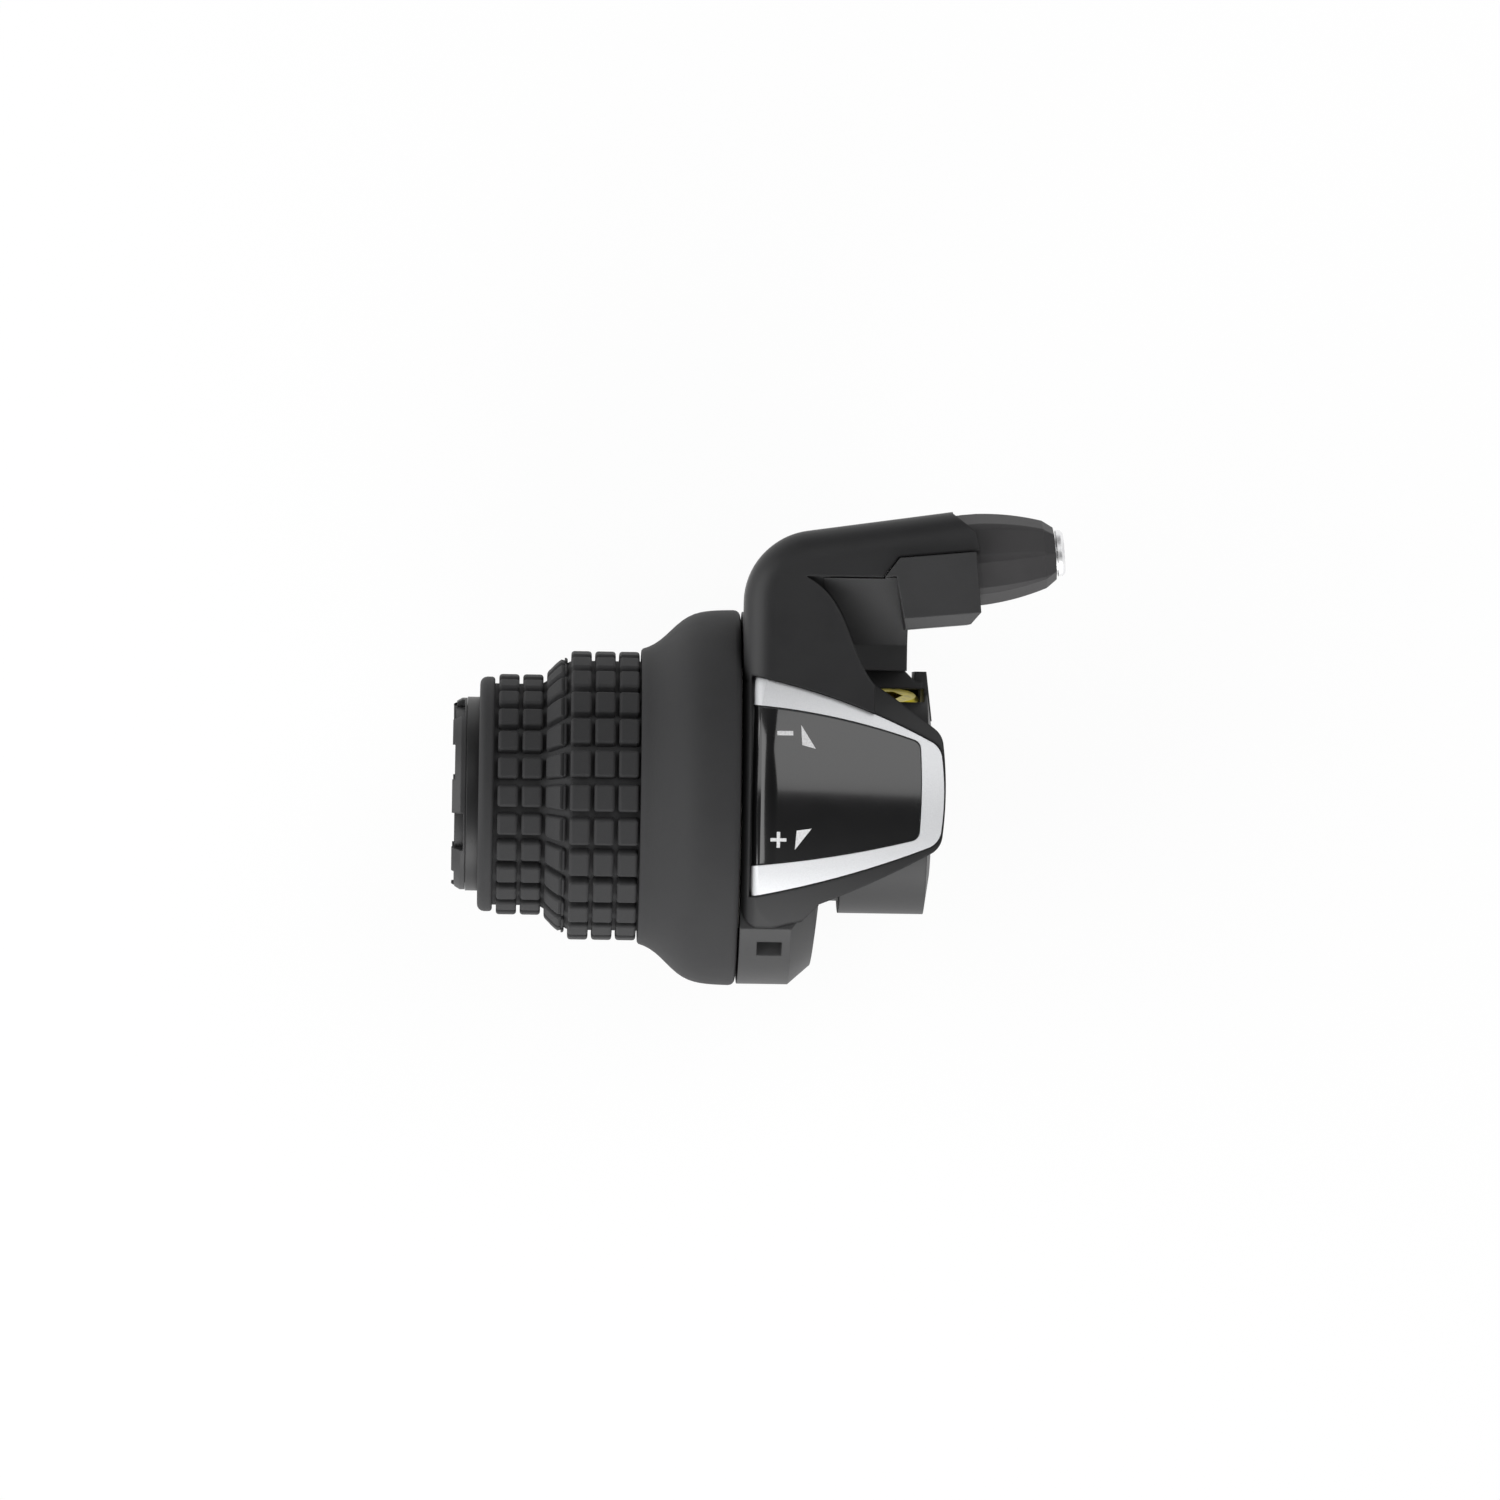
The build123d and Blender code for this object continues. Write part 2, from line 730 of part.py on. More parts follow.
def snap_tab():
    """Tongue on the cover's rear edge whose barb catches in the bracket's window."""
    left = chamber_face + window_inset + tab_gap
    right = left + window_length - 2 * tab_gap
    window_top = rear_parting_height - window_drop
    bottom = window_top - window_height
    outer = cavity_radius - tab_gap
    tongue_ring = tube(outer, outer - tab_thickness, left, right)
    strip = tongue_ring & block(left, right, -far / 4, 0, bottom, rear_parting_height + tab_thickness)
    bridge = tube(cavity_radius + 1, outer - tab_thickness, left, right)
    bridge &= block(left, right, -far / 4, 0, rear_parting_height, rear_parting_height + tab_thickness)
    barb = tube(outer + tab_thickness, outer - tab_thickness / 2, left, right)
    barb &= block(left, right, -far / 4, 0, bottom + tab_gap, window_top - tab_gap)
    return strip + bridge + barb


def display_bezel():
    """Silver frame on three sides of the panel, standing a little proud of the hood."""
    shell = hood_body(hood_radius + bezel_rise) - hood_body(hood_radius - display_depth + seat_clearance)
    frame = plate(bezel_plan(), 0, far / 4) - plate(panel_plan(panel_gap), 0, far / 4)
    return frame & shell & shoulder_body(bezel_left, chamber_radius + bezel_rise)


def display_lens():
    """Convex black panel with its outboard edge turned down."""
    shell = hood_body(hood_radius + panel_rise) - hood_body(hood_radius - display_depth + seat_clearance)
    return plate(panel_plan(), 0, far / 4) & shell & shoulder_body(bezel_left, chamber_radius + panel_rise)


def end_ring():
    """Retaining ring on the sleeve's end, with lugs and spanner notches."""
    bore = sleeve_radius + seat_clearance
    ring_end = ring_left - ring_lug_length
    body = turned([
        (ring_end, bore), (ring_end, ring_radius - ring_chamfer), (ring_end + ring_chamfer, ring_radius),
        (ring_right, ring_radius), (ring_right, bore),
    ])
    pitch = 360 / ring_notch_count
    for notch in range(ring_notch_count):
        turn = 90 + ring_turn + notch * pitch
        low_middle = turn + pitch / 2
        body -= sector(low_middle, pitch - ring_lug_angle, ring_end - 1, ring_left)
        body -= sector(turn, ring_notch_angle, ring_end - 1, ring_right - ring_gap)
    return body


def clamp_screw():
    """Cap screw across the clamp's slot."""
    drop = bar_radius + clamp_screw_radius + clamp_screw_cover
    seat = ear_front_length + clamp_washer_thickness
    shank_end = -ear_rear_length - 1
    shank = Pos(clamp_screw_shift, (seat + shank_end) / 2, -drop) * Rot(90, 0, 0) * Cylinder(
        clamp_screw_radius, seat - shank_end
    )
    head = Pos(clamp_screw_shift, seat + clamp_head_height / 2, -drop) * Rot(90, 0, 0) * Cylinder(
        clamp_head_radius, clamp_head_height
    )
    head = chamfer(head.edges().filter_by(GeomType.CIRCLE).group_by(Axis.Y)[-1], clamp_head_height / 8)
    hexagon = extrude(
        Plane.XZ * RegularPolygon(clamp_socket_width / 2, 6, major_radius=False), amount=-clamp_socket_depth - 1
    )
    socket = Pos(clamp_screw_shift, seat + clamp_head_height - clamp_socket_depth, -drop) * hexagon
    return in_clamp(shank + head - socket)


def clamp_washer():
    """Flat washer under the screw head."""
    drop = bar_radius + clamp_screw_radius + clamp_screw_cover
    face = Circle(clamp_washer_radius) - Circle(clamp_screw_radius + clamp_hole_clearance)
    disc = extrude(Plane.XZ * face, amount=-clamp_washer_thickness)
    return in_clamp(Pos(clamp_screw_shift, ear_front_length, -drop) * disc)


def clamp_nut():
    """Square nut held in the rear ear."""
    drop = bar_radius + clamp_screw_radius + clamp_screw_cover
    face = Rectangle(clamp_nut_width, clamp_nut_width) - Circle(clamp_screw_radius + seat_clearance)
    nut = extrude(Plane.XZ * face, amount=-clamp_nut_height + seat_clearance)
    return in_clamp(Pos(clamp_screw_shift, -ear_rear_length, -drop) * nut)


def cover_screws():
    """Two self-tapping screws that hold the cover down on the arm."""
    screws = []
    for place in cover_screw_places:
        seat = arm_bottom + cover_screw_recess
        head = Pos(*place, seat - cover_screw_head_height / 2) * Cylinder(
            cover_screw_head_radius, cover_screw_head_height
        )
        shank = Pos(*place, seat + cover_screw_length / 2) * Cylinder(cover_screw_radius, cover_screw_length)
        drive = Pos(*place, seat - cover_screw_head_height) * (
            Box(2 * cover_screw_drive, cover_screw_drive / 2, cover_screw_drive)
            + Box(cover_screw_drive / 2, 2 * cover_screw_drive, cover_screw_drive)
        )
        screws.append(head + shank - drive)
    return Compound(screws)


def friction_spring():
    """Bowed spring washer that presses the drum."""
    reach = friction_outer
    bow_radius = (reach ** 2 + spring_bow ** 2) / (2 * spring_bow)
    right = plate_face - stack_gap
    axis_x = right - bow_radius - spring_thickness
    shell = Pos(axis_x, 0, 0) * (
        Cylinder(bow_radius + spring_thickness, far / 2) - Cylinder(bow_radius, far / 2)
    )
    return tube(friction_outer, sleeve_radius + friction_play, right - 2 * spring_height, right + 1) & shell


def thrust_washer():
    """Steel washer between the spring and the drum."""
    return tube(friction_outer, sleeve_radius + friction_play, thrust_left, thrust_right)


def cable_guide():
    """Bent liner tube that leads the wire from the drum to the adjuster."""
    path = guide_path(guide_start)
    return swept_round(path, guide_radius) - swept_round(path, wire_radius)


def click_spring():
    """Small bent leaf that holds the knob's notched end at each click."""
    seat = knob_left - knob_gap
    inner = spigot_radius + collar_gap
    leaf = block(
        seat, seat + click_spring_thickness, -inner - click_spring_width, -inner,
        -click_spring_width, click_spring_width,
    )
    return on_adjuster(leaf)


def grip_swell(drop):
    """Line over the blocks, swelling from the grip's small end to its large end, lowered by drop."""
    small = grip_small_radius - drop
    large = grip_large_radius - drop
    swell_start = grip_outer + ramp_start
    swell_end = swell_start + ramp_length
    return [
        Line((blocks_left, small), (swell_start, small)),
        Spline((swell_start, small), (swell_end, large), tangents=((1, 0), (1, 0))),
        Line((swell_end, large), (blocks_right, large)),
    ]


def rubber_grip():
    """Overmoulded rubber: end bead, six rows of blocks round the grip, and the coved flange."""
    inner_small = core_radius + seat_clearance
    inner_large = core_large_radius + seat_clearance
    flange_room = core_flange_radius + seat_clearance
    flange_left = core_face - core_flange_thickness - seat_clearance
    bead_right = grip_outer + bead_length
    groove_floor = grip_small_radius - block_depth
    bead = Polyline(
        (grip_outer, inner_small), (grip_outer, bead_radius - bead_chamfer),
        (grip_outer + bead_chamfer, bead_radius), (bead_right, bead_radius), (bead_right, groove_floor),
        (blocks_left, groove_floor), (blocks_left, grip_small_radius),
    )
    flange_step = Line((blocks_right, grip_large_radius), (blocks_right, flange_start_radius))
    cove = Spline(
        (blocks_right, flange_start_radius), (blocks_right + flange_knee, flange_knee_radius),
        (grip_inner - flange_edge, flange_radius), tangents=flange_tangents,
    )
    inner = Polyline(
        (grip_inner - flange_edge, flange_radius), (grip_inner, flange_radius - flange_edge),
        (grip_inner, flange_room), (flange_left, flange_room), (flange_left, inner_large),
        (step_right, inner_large), (step_left, inner_small), (grip_outer, inner_small),
    )
    body = revolve(make_face([bead, *grip_swell(0), flange_step, cove, inner]), Axis.X)
    for column in range(1, block_columns):
        middle = blocks_left + column * block_pitch
        radius = grip_small_radius if middle < step_right else grip_large_radius
        body -= tube(
            grip_large_radius + 1, radius - block_depth, middle - column_groove / 2, middle + column_groove / 2
        )
    floor = grip_swell(block_depth)
    over = Polyline(floor[-1] @ 1, (blocks_right, far / 8), (blocks_left, far / 8), floor[0] @ 0)
    zone = revolve(make_face([*floor, over]), Axis.X)
    slabs = []
    for row in range(block_rows):
        slab = block(
            blocks_left - 1, blocks_right, bar_radius, far / 8 - 1, -row_groove / 2, row_groove / 2
        )
        slabs.append(Rot(90 + (row + block_row_turn) * 360 / block_rows, 0, 0) * slab & zone)
    return body - slabs


def grip_core():
    """Hard inner tube of the grip with its flange and the keyed stub for the drum."""
    flange_left = core_face - core_flange_thickness
    rubber_left = grip_outer + core_recess
    body = turned([
        (collar_face, core_bore), (collar_face, core_collar_radius), (rubber_left, core_collar_radius),
        (rubber_left, core_radius), (step_left, core_radius),
        (step_right, core_large_radius), (flange_left, core_large_radius), (flange_left, core_flange_radius),
        (core_face, core_flange_radius), (core_face, stub_radius), (drum_right, stub_radius),
        (drum_right, core_bore),
    ])
    for key in range(key_count):
        body += Rot(key * 360 / key_count, 0, 0) * block(
            core_face - key_sink, drum_right, stub_radius - key_sink, stub_radius + key_height,
            -key_width / 2, key_width / 2,
        )
    return body


def cable_drum():
    """Winding drum with its wire groove, nipple pocket and stop lug."""
    half = drum_groove_width / 2
    bore = stub_radius + seat_clearance
    body = turned([
        (core_face, bore), (core_face, drum_radius), (guide_x - half, drum_radius),
        (guide_x - half, drum_groove_radius), (guide_x + half, drum_groove_radius),
        (guide_x + half, drum_radius), (drum_right, drum_radius), (drum_right, bore),
    ])
    rest = 270 - twist_range / 2
    lug = tube(cavity_radius - 2 * collar_gap, drum_radius - 1, drum_right - lug_length, drum_right)
    lug &= block(drum_right - far, drum_right, 0, far / 4, -stop_thickness / 2, stop_thickness / 2)
    body += Rot(rest, 0, 0) * lug
    for key in range(key_count):
        body -= Rot(key * 360 / key_count, 0, 0) * block(
            core_face - 1, drum_right + 1, 0, stub_radius + key_height + seat_clearance,
            -key_width / 2 - seat_clearance, key_width / 2 + seat_clearance,
        )
    body -= Rot(rest - nipple_turn, 0, 0) * block(
        guide_x - half, guide_x + nipple_pocket / 2, stub_radius + key_height, far / 4,
        -nipple_pocket / 2, nipple_pocket / 2,
    )
    return body


def knob_outline(drop):
    """Half outline of the knob above its axis, lowered by drop."""
    knob_right = knob_left + knob_length
    full = knob_radius - drop
    start = Polyline(
        (knob_left, 0), (knob_left, full - knob_edge), (knob_left + knob_edge, full), (knob_parallel_end, full)
    )
    taper_end = (knob_taper_end, knob_taper_radius - drop)
    taper = Spline((knob_parallel_end, full), taper_end, tangents=knob_taper_tangents)
    end = Polyline(
        taper_end, (knob_right - knob_shoulder, knob_shoulder_radius - drop),
        (knob_right, knob_end_radius - drop), (knob_right, 0), (knob_left, 0),
    )
    return make_face([start, taper, end])


def adjuster_knob():
    """Tapered knob with flats, a notched inner end, and a collared spigot held in the arm."""
    collar_right = knob_left - spigot_length
    collar_left = collar_right - collar_length
    seat = bolt_radius + running_clearance + insert_wall + seat_clearance
    body = revolve(knob_outline(0), Axis.X)
    half_slab = extrude(knob_outline(knob_flat_depth), amount=far / 8, both=True)
    slab = half_slab + mirror(half_slab, about=Plane.XZ)
    pitch = 360 / knob_flat_count
    for pair in range(knob_flat_count // 2):
        body &= Rot((pair + 0.5) * pitch, 0, 0) * slab
    for notch in range(knob_notch_count):
        body -= Rot(notch * 360 / knob_notch_count, 0, 0) * block(
            knob_left - 1, knob_left + knob_notch_depth, spigot_radius + 1, knob_radius + 1,
            -knob_notch_width / 2, knob_notch_width / 2,
        )
    body += rod(spigot_radius, collar_right, knob_left + 1)
    body += rod(collar_radius, collar_left, collar_right)
    body -= rod(bolt_radius + collar_gap, collar_left - 1, knob_left + knob_length + 1)
    body -= rod(seat, collar_left - 1, collar_left + insert_length + seat_clearance)
    return on_adjuster(body)


def threaded_insert():
    """Brass sleeve in the knob that carries the bolt's thread."""
    left = knob_left - spigot_length - collar_length
    inner = bolt_radius + running_clearance
    return on_adjuster(tube(inner + insert_wall, inner, left, left + insert_length))


def adjuster_bolt():
    """Hollow bolt that slides out as the knob turns: flats inside, casing socket at the tip."""
    knob_right = knob_left + knob_length
    tip_left = knob_right + bolt_tip_gap
    tip_right = tip_left + bolt_tip_length
    body = turned([
        (bolt_inner_end, 0), (bolt_inner_end, bolt_radius), (tip_left, bolt_radius),
        (tip_left, bolt_tip_radius), (tip_right - bolt_tip_edge, bolt_tip_radius),
        (tip_right, bolt_tip_radius - bolt_tip_edge), (tip_right, 0),
    ])
    flat_end = knob_left - spigot_length - collar_length
    half_flat = bolt_flat_width / 2
    keyed = block(bolt_inner_end, flat_end, -bolt_radius, bolt_radius, -half_flat, half_flat)
    body -= rod(bolt_radius + 1, bolt_inner_end - 1, flat_end) - keyed
    body -= rod(casing_radius, tip_right - casing_depth, tip_right + 1)
    body -= rod(wire_radius, bolt_inner_end - 1, tip_right)
    return on_adjuster(body)


pieces = [
    bracket, housing_cover, display_bezel, display_lens, end_ring, clamp_screw, clamp_washer,
    clamp_nut, cover_screws, friction_spring, thrust_washer, cable_guide, click_spring, rubber_grip,
    grip_core, cable_drum, adjuster_knob, threaded_insert, adjuster_bolt,
]

os.makedirs("parts", exist_ok=True)
for piece in pieces:
    export_step(piece(), f"parts/{piece.__name__}.step")
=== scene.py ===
"""Looks of the friction twist grip shifter, dressed round its solids.

Sizes are in millimetres until a piece is placed, and angles are in degrees.
"""
import json
import math

import bmesh
import bpy
from mathutils import Matrix, Vector


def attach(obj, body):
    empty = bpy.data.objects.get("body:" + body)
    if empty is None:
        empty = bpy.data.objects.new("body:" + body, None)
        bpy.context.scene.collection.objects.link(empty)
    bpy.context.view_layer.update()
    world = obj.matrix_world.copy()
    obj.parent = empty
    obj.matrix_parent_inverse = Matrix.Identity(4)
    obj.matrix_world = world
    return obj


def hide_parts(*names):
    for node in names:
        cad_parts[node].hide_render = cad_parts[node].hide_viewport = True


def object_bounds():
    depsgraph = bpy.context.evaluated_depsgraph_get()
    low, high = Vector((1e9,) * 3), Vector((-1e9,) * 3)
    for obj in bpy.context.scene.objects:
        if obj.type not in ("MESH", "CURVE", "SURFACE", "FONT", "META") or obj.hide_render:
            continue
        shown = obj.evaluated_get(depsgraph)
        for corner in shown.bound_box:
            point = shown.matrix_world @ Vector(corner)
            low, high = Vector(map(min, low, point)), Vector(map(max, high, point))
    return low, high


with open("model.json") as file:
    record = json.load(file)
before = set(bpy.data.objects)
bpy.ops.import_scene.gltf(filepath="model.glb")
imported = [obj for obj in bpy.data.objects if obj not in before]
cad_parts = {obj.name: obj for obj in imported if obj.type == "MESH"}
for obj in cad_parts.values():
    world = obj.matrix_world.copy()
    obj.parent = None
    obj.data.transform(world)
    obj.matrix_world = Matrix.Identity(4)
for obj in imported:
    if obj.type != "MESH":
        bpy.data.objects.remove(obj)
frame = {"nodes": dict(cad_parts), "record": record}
cad_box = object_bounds()
nodes = frame["nodes"]

MM = 0.001

# View of the photograph: looking down on the display, leaning a little from the grip's side
view_centre = (-18.85, 6.7)
view_width = 209.8
view_distance = 1500.0
view_lean = 1.3
view_roll = 0.9
view_reach = 100000.0
sensor_width = 36.0

# Room round the part: each lamp has a name, its place, its two sides and its power in watts
floor_gap = 0.5
floor_size = 3000.0
floor_glow = 0.92
wall_level = 0.9
roof_level = 0.12
far_wall_share = 0.35
far_wall_start = -0.5
far_wall_end = 0.8
lamps = (
    ("lamp_over", (330, 330, 560), (560, 600), 2.1),
    ("lamp_left", (-640, 0, 330), (900, 640), 4.8),
    ("lamp_front", (60, -560, 190), (600, 520), 2.7),
)

# Fineness of the meshes, and the angles past which an edge stays crisp
merge_distance = 0.0005
corner_steps = 4
ramp_steps = 8
cove_steps = 16
row_steps = 6
ring_steps = 120
sector_steps = 6
block_cuts = 5
block_edge_steps = 3
mark_cuts = 2
bevel_samples = 4
block_crisp_angle = 50.0
grip_crisp_angle = 40.0
ring_crisp_angle = 20.0

# Places on a grey pattern where its two colours begin to blend
tint_start = 0.35
tint_end = 0.65

# Rubber grip, from its outboard end
grip_outer = -56.7
grip_inner = -20.55
bead_length = 2.1
bead_radius = 16.4
bead_edge = 1.0
bead_back_edge = 0.45
block_start = 2.4
block_pitch = 3.34
block_columns = 6
block_rows = 26
block_phase = 0.05
block_depth = 1.3
block_sink = 0.25
block_edge = 0.42
column_groove = 0.5
row_groove = 1.1
small_radius = 16.78
large_radius = 20.12
ramp_start = 8.2
ramp_length = 4.9
ramp_column = 2
ramp_block_rise = 2.5
flange_start_radius = 20.6
flange_radius = 26.25
flange_lip = 0.2
flange_edge = 0.9
flange_bend = 4.05
flange_spread = 1.55
grip_bore = 15.05
grip_wide_bore = 18.55
flange_room_radius = 23.45
flange_room_depth = 2.45

# Retaining ring on the sleeve's end: angles run from +Y towards +Z
ring_end = -60.35
ring_right = -58.45
ring_bore = 12.45
ring_radius = 13.4
ring_chamfer_length = 1.2
ring_chamfer_height = 0.7
ring_step = 0.35
ring_web = 0.3
ring_count = 4
ring_notch_middle = 114.0
ring_notch_angle = 24.0
ring_low_middle = 159.0
ring_low_angle = 24.0
ring_front_middle = -10.5
ring_front_angle = 45.0
ring_rear_middle = 181.5
ring_rear_angle = 23.0
ring_lug_step = 0.45
cutter_reach = 1.0

# Display barrel and the marks printed on its panel
hood_radius = 30.0
hood_dip = 10.0
hood_top = 25.5
hood_left = -19.1
panel_rise = 0.15
shoulder_right = -15.5
shoulder_left = -17.8
shoulder_fall = 0.85
ink_thickness = 0.02
minus_centre = (-14.55, 9.1)
plus_centre = (-15.3, -5.6)
sign_length = 2.2
minus_width = 0.62
plus_width = 0.46
wedge_by_minus = ((-12.35, 10.25), (-12.2, 7.5), (-10.3, 7.0))
wedge_by_plus = ((-12.8, -4.3), (-13.0, -6.95), (-10.75, -4.0))

# Web of plastic in the corner between the arm and the neck, in plan
web_outline = ((-12.6, 31.1), (-10.2, 27.6), (-7.4, 27.6), (-8.6, 31.1))
web_drop = 10.03
web_depth = 1.5


def linear(code):
    """Linear colour of an sRGB hex code."""
    channels = [int(code[i:i + 2], 16) / 255 for i in (1, 3, 5)]
    return [c / 12.92 if c <= 0.04045 else ((c + 0.055) / 1.055) ** 2.4 for c in channels] + [1.0]


def add(tree, kind, settings=None, links=None):
    """Node of a kind, with its settings (attributes or socket values) and what feeds its sockets."""
    made = tree.nodes.new("ShaderNode" + kind)
    for name, value in (settings or {}).items():
        if isinstance(name, int) or name in made.inputs:
            made.inputs[name].default_value = value
        else:
            setattr(made, name, value)
    for name, source in (links or {}).items():
        tree.links.new(source, made.inputs[name])
    return made


def start(name, **values):
    """New material with its shader, the shader's constant values set on its own sockets."""
    material = bpy.data.materials.new(name)
    material.use_nodes = True
    shader = material.node_tree.nodes["Principled BSDF"]
    for socket, value in values.items():
        shader.inputs[socket.replace("_", " ")].default_value = value
    return material, material.node_tree, shader


def grain(tree, size, detail=2.0):
    """Noise whose lumps are about the given size in millimetres."""
    place = add(tree, "TexCoord").outputs["Object"]
    noise = add(tree, "TexNoise", {"Scale": 1 / (size * MM), "Detail": detail}, {"Vector": place})
    return noise.outputs["Fac"]


def tint(tree, shader, pattern, dark, light):
    """Blends the shader's colour from two sRGB codes by a grey pattern."""
    blend = add(tree, "ValToRGB", links={"Fac": pattern})
    for element, position, code in zip(
        blend.color_ramp.elements, (tint_start, tint_end), (dark, light)
    ):
        element.position = position
        element.color = linear(code)
    tree.links.new(blend.outputs["Color"], shader.inputs["Base Color"])


def gloss(tree, shader, pattern, low, high):
    """Moves the shader's roughness between two values by a grey pattern."""
    spread = add(tree, "MapRange", {"To Min": low, "To Max": high}, {"Value": pattern})
    tree.links.new(spread.outputs["Result"], shader.inputs["Roughness"])


def relief(tree, source, height, edge=0.0):
    """Normal of a fine relief of the given height, over edges eased by the given radius."""
    links = {"Height": source}
    if edge:
        bevel = add(tree, "Bevel", {"Radius": edge * MM, "samples": bevel_samples})
        links["Normal"] = bevel.outputs["Normal"]
    return add(tree, "Bump", {"Strength": 1.0, "Distance": height * MM}, links).outputs["Normal"]


def moulded_plastic(name, dark, light, roughness, grit, height, edge, specular=0.5):
    """Moulded plastic: spark-eroded grain breaks the gloss, and every corner has a small radius."""
    material, tree, shader = start(name, IOR=1.5, Specular_IOR_Level=specular)
    fine = grain(tree, grit)
    broad = grain(tree, 40 * grit, detail=4.0)
    tint(tree, shader, broad, dark, light)
    gloss(tree, shader, broad, roughness - 0.06, roughness + 0.06)
    tree.links.new(relief(tree, fine, height, edge), shader.inputs["Normal"])
    return material


def overmoulded_rubber():
    """Thermoplastic rubber from an etched mould: dead matt, with a faint unevenness of tone."""
    material, tree, shader = start("thermoplastic_rubber_moulded", IOR=1.48, Specular_IOR_Level=0.35)
    fine = grain(tree, 0.22, detail=3.0)
    broad = grain(tree, 5.0, detail=4.0)
    tint(tree, shader, broad, "#2c2c2d", "#2f2f30")
    gloss(tree, shader, broad, 0.62, 0.8)
    tree.links.new(relief(tree, fine, height=0.012), shader.inputs["Normal"])
    return material


def silver_lacquer():
    """Metallic lacquer sprayed on plastic: bright and even, with a faint sparkle of flakes."""
    material, tree, shader = start("silver_lacquer_sprayed", Metallic=0.45, Roughness=0.5)
    flakes = grain(tree, 0.09, detail=0.0)
    tint(tree, shader, flakes, "#d8d9db", "#e2e3e5")
    tree.links.new(relief(tree, flakes, height=0.0012, edge=0.15), shader.inputs["Normal"])
    return material


def gloss_panel():
    """Black panel moulded in polished steel: it mirrors the lamps, and its left shoulder rolls away."""
    material, tree, shader = start(
        "black_acrylic_polished", IOR=1.5, Coat_Weight=0.5, Coat_Roughness=0.1
    )
    peel = grain(tree, 4.0, detail=1.0)
    tint(tree, shader, peel, "#0d0d0e", "#101011")
    gloss(tree, shader, peel, 0.13, 0.17)
    across = add(tree, "SeparateXYZ", links={0: add(tree, "TexCoord").outputs["Object"]})
    near = add(tree, "MapRange", {
        "From Min": shoulder_right * MM, "From Max": shoulder_left * MM,
    }, {"Value": across.outputs["X"]})
    fall = add(tree, "Math", {"operation": "POWER", 1: 2.0}, {0: near.outputs["Result"]})
    rolled = add(tree, "Bump", {"Distance": shoulder_fall * MM, "invert": True}, {
        "Height": fall.outputs[0], "Normal": relief(tree, peel, height=0.004, edge=0.12),
    })
    for socket in ("Normal", "Coat Normal"):
        tree.links.new(rolled.outputs["Normal"], shader.inputs[socket])
    return material


def printed_ink():
    """White pad-printed ink: flat, and slightly uneven where the film is thin."""
    material, tree, shader = start("white_ink_pad_printed", Roughness=0.45)
    tint(tree, shader, grain(tree, 0.3), "#cfcfd0", "#e4e4e5")
    return material


def metal(name, low, high, roughness, patch, edge):
    """Plated or bare metal: patches a few tenths of a millimetre wide change its tint and gloss."""
    material, tree, shader = start(name, Metallic=1.0)
    pattern = grain(tree, patch, detail=3.0)
    tint(tree, shader, pattern, low, high)
    gloss(tree, shader, pattern, roughness - 0.05, roughness + 0.08)
    tree.links.new(relief(tree, pattern, height=0.003, edge=edge), shader.inputs["Normal"])
    return material


def finishes():
    """Every finish of the part by its slot in the record, and the ink."""
    return {
        "base_plastic": moulded_plastic(
            "glass_filled_nylon_moulded", "#282829", "#2b2b2c",
            roughness=0.5, grit=0.16, height=0.012, edge=0.3,
        ),
        "cover_plastic": moulded_plastic(
            "abs_satin_moulded", "#232324", "#252526",
            roughness=0.46, grit=0.12, height=0.006, edge=0.5, specular=0.3,
        ),
        "silver_paint": silver_lacquer(),
        "panel_gloss": gloss_panel(),
        "yellow_zinc": metal(
            "steel_yellow_passivated", "#8a7d14", "#b3a41e", roughness=0.3, patch=0.8, edge=0.15,
        ),
        "plain_steel": metal(
            "spring_steel_rolled", "#9a9a9c", "#b4b4b6", roughness=0.32, patch=0.5, edge=0.1,
        ),
        "liner_plastic": moulded_plastic(
            "polyethylene_liner_extruded", "#c9c8c2", "#d6d5cf",
            roughness=0.45, grit=0.2, height=0.004, edge=0.1,
        ),
        "grip_rubber": overmoulded_rubber(),
        "core_plastic": moulded_plastic(
            "black_acetal_moulded", "#1b1b1c", "#1e1e1f",
            roughness=0.42, grit=0.14, height=0.008, edge=0.25,
        ),
        "knob_plastic": moulded_plastic(
            "nylon_knob_moulded", "#363536", "#393839",
            roughness=0.45, grit=0.14, height=0.006, edge=0.2, specular=0.25,
        ),
        "insert_brass": metal(
            "brass_turned", "#a58544", "#c2a25c", roughness=0.28, patch=0.5, edge=0.1,
        ),
        "bright_nickel": metal(
            "nickel_plated_brass", "#ececee", "#fafafa", roughness=0.38, patch=0.4, edge=0.12,
        ),
        "ink": printed_ink(),
    }


def as_object(mesh, name):
    """Object in the scene from a mesh, which is used up."""
    data = bpy.data.meshes.new(name)
    mesh.to_mesh(data)
    mesh.free()
    made = bpy.data.objects.new(name, data)
    bpy.context.scene.collection.objects.link(made)
    return made


def place(mesh, name, material, body, slot):
    """Finished mesh in millimetres, put into the frame as a piece that rides on a body."""
    bmesh.ops.scale(mesh, vec=(MM, MM, MM), verts=mesh.verts)
    piece = as_object(mesh, name)
    piece.data.materials.append(material)
    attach(piece, body)
    return piece


